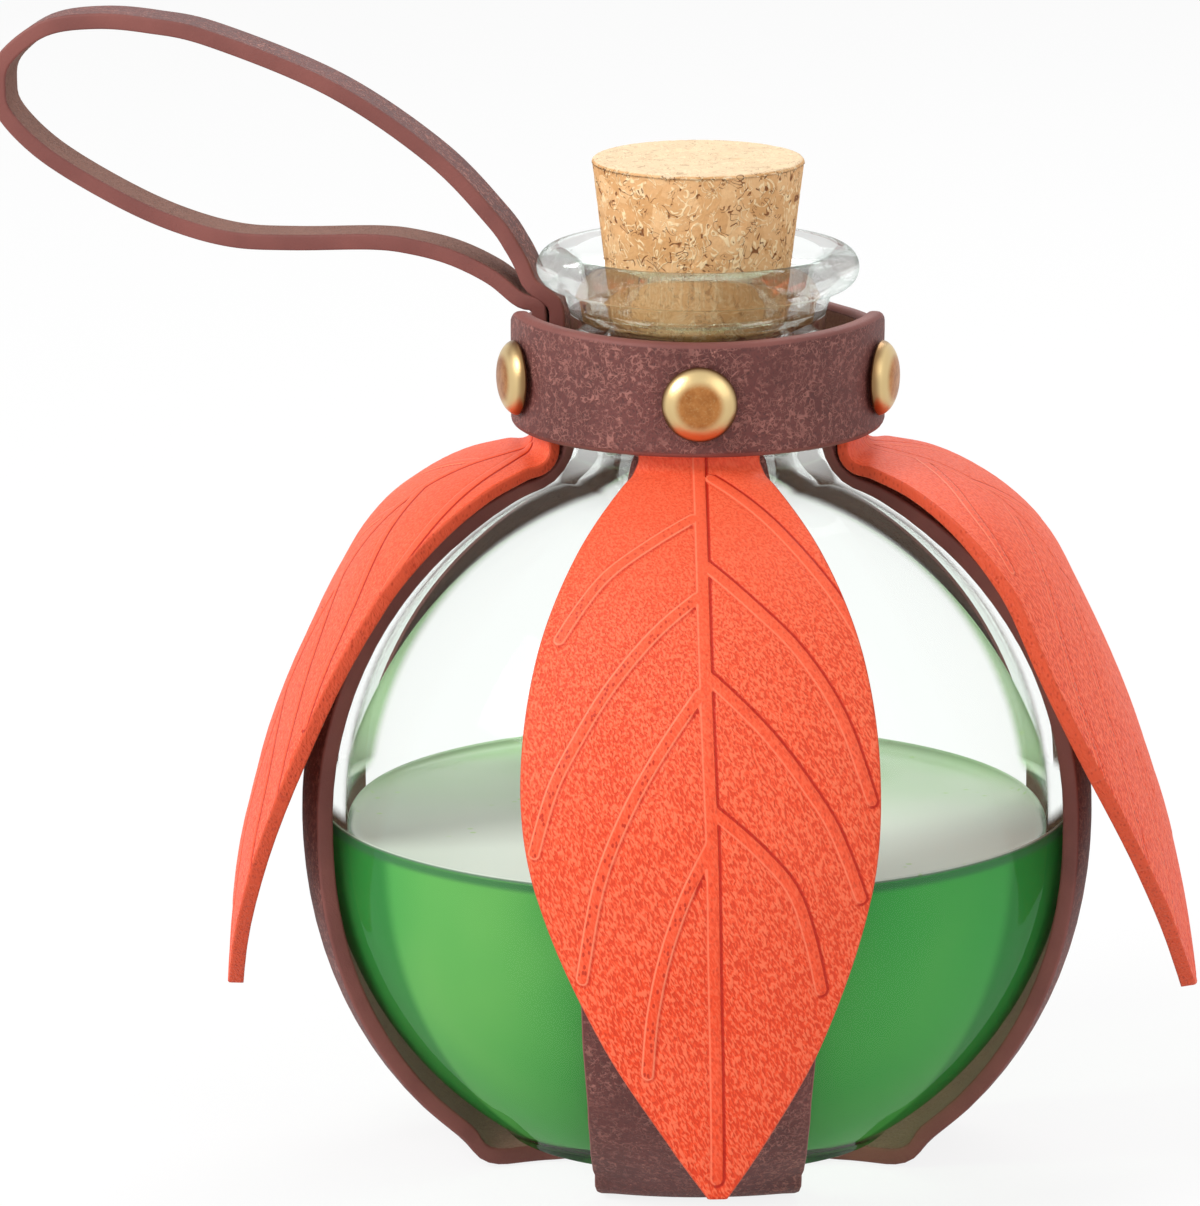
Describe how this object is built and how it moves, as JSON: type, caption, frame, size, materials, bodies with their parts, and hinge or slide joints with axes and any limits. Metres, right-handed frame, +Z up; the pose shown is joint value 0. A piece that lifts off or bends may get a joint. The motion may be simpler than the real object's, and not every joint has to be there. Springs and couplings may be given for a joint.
{
  "type": "potion bottle",
  "caption": "Round clear glass flask of green liquid with a tapered cork, in a riveted brown leather harness with orange leather leaves and a hanging loop.",
  "frame": {"origin": "on the flask's axis, on the surface that it stands on", "axes": "+X to the right seen from the front, -Y towards the front leaf, +Z up along the neck"},
  "size_m": [0.1437, 0.097, 0.136],
  "materials": {
    "clear_glass": "clear, blown, polished",
    "green_liquid": "slightly milky liquid, calm surface",
    "pressed_cork": "matte pressed cork",
    "brown_leather": "oiled, fine grain, burnished edges",
    "orange_leather": "dyed, pebbled, embossed veins",
    "aged_brass": "antique, brushed by wear"
  },
  "bodies": {
    "flask": {"glass_flask": "clear_glass", "potion_liquid": "green_liquid", "neck_band": "brown_leather", "strap_front_back": "brown_leather", "strap_left_right": "brown_leather", "leaf_front_tab": "orange_leather", "leaf_left_tab": "orange_leather", "leaf_right_tab": "orange_leather", "loop_end_inner": "brown_leather", "loop_end_outer": "brown_leather", "rivet_front_cap": "aged_brass", "rivet_front_post": "aged_brass", "rivet_left_cap": "aged_brass", "rivet_left_post": "aged_brass", "rivet_right_cap": "aged_brass", "rivet_right_post": "aged_brass", "rivet_back_cap": "aged_brass", "rivet_back_post": "aged_brass"},
    "cork": {"cork_stopper": "pressed_cork"},
    "front_leaf": {"leaf_front": "orange_leather"},
    "left_leaf": {"leaf_left": "orange_leather"},
    "right_leaf": {"leaf_right": "orange_leather"},
    "loop": {"hanging_loop": "brown_leather"}
  },
  "joints": [
    {"name": "cork_pull", "type": "slide", "parent": "flask", "child": "cork", "axis": [0, 0, 1], "range_m": [0, 0.045]},
    {"name": "front_leaf_flex", "type": "hinge", "parent": "flask", "child": "front_leaf", "pos_m": [0, -0.01917, 0.08795], "axis": [-1, 0, 0], "range_deg": [0, 35], "stiffness_Nm_per_rad": 0.02},
    {"name": "left_leaf_flex", "type": "hinge", "parent": "flask", "child": "left_leaf", "pos_m": [-0.01903, -0.00234, 0.08795], "axis": [-0.1219, 0.9925, 0], "range_deg": [0, 25], "stiffness_Nm_per_rad": 0.02},
    {"name": "right_leaf_flex", "type": "hinge", "parent": "flask", "child": "right_leaf", "pos_m": [0.01903, -0.00234, 0.08795], "axis": [-0.1219, -0.9925, 0], "range_deg": [-2, 25], "stiffness_Nm_per_rad": 0.02, "springref_deg": 3.15},
    {"name": "loop_flex", "type": "hinge", "parent": "flask", "child": "loop", "pos_m": [-0.01715, 0.00373, 0.1013], "axis": [-0.2125, -0.9772, 0], "range_deg": [-2, 15], "stiffness_Nm_per_rad": 0.05, "springref_deg": -0.8}
  ]
}
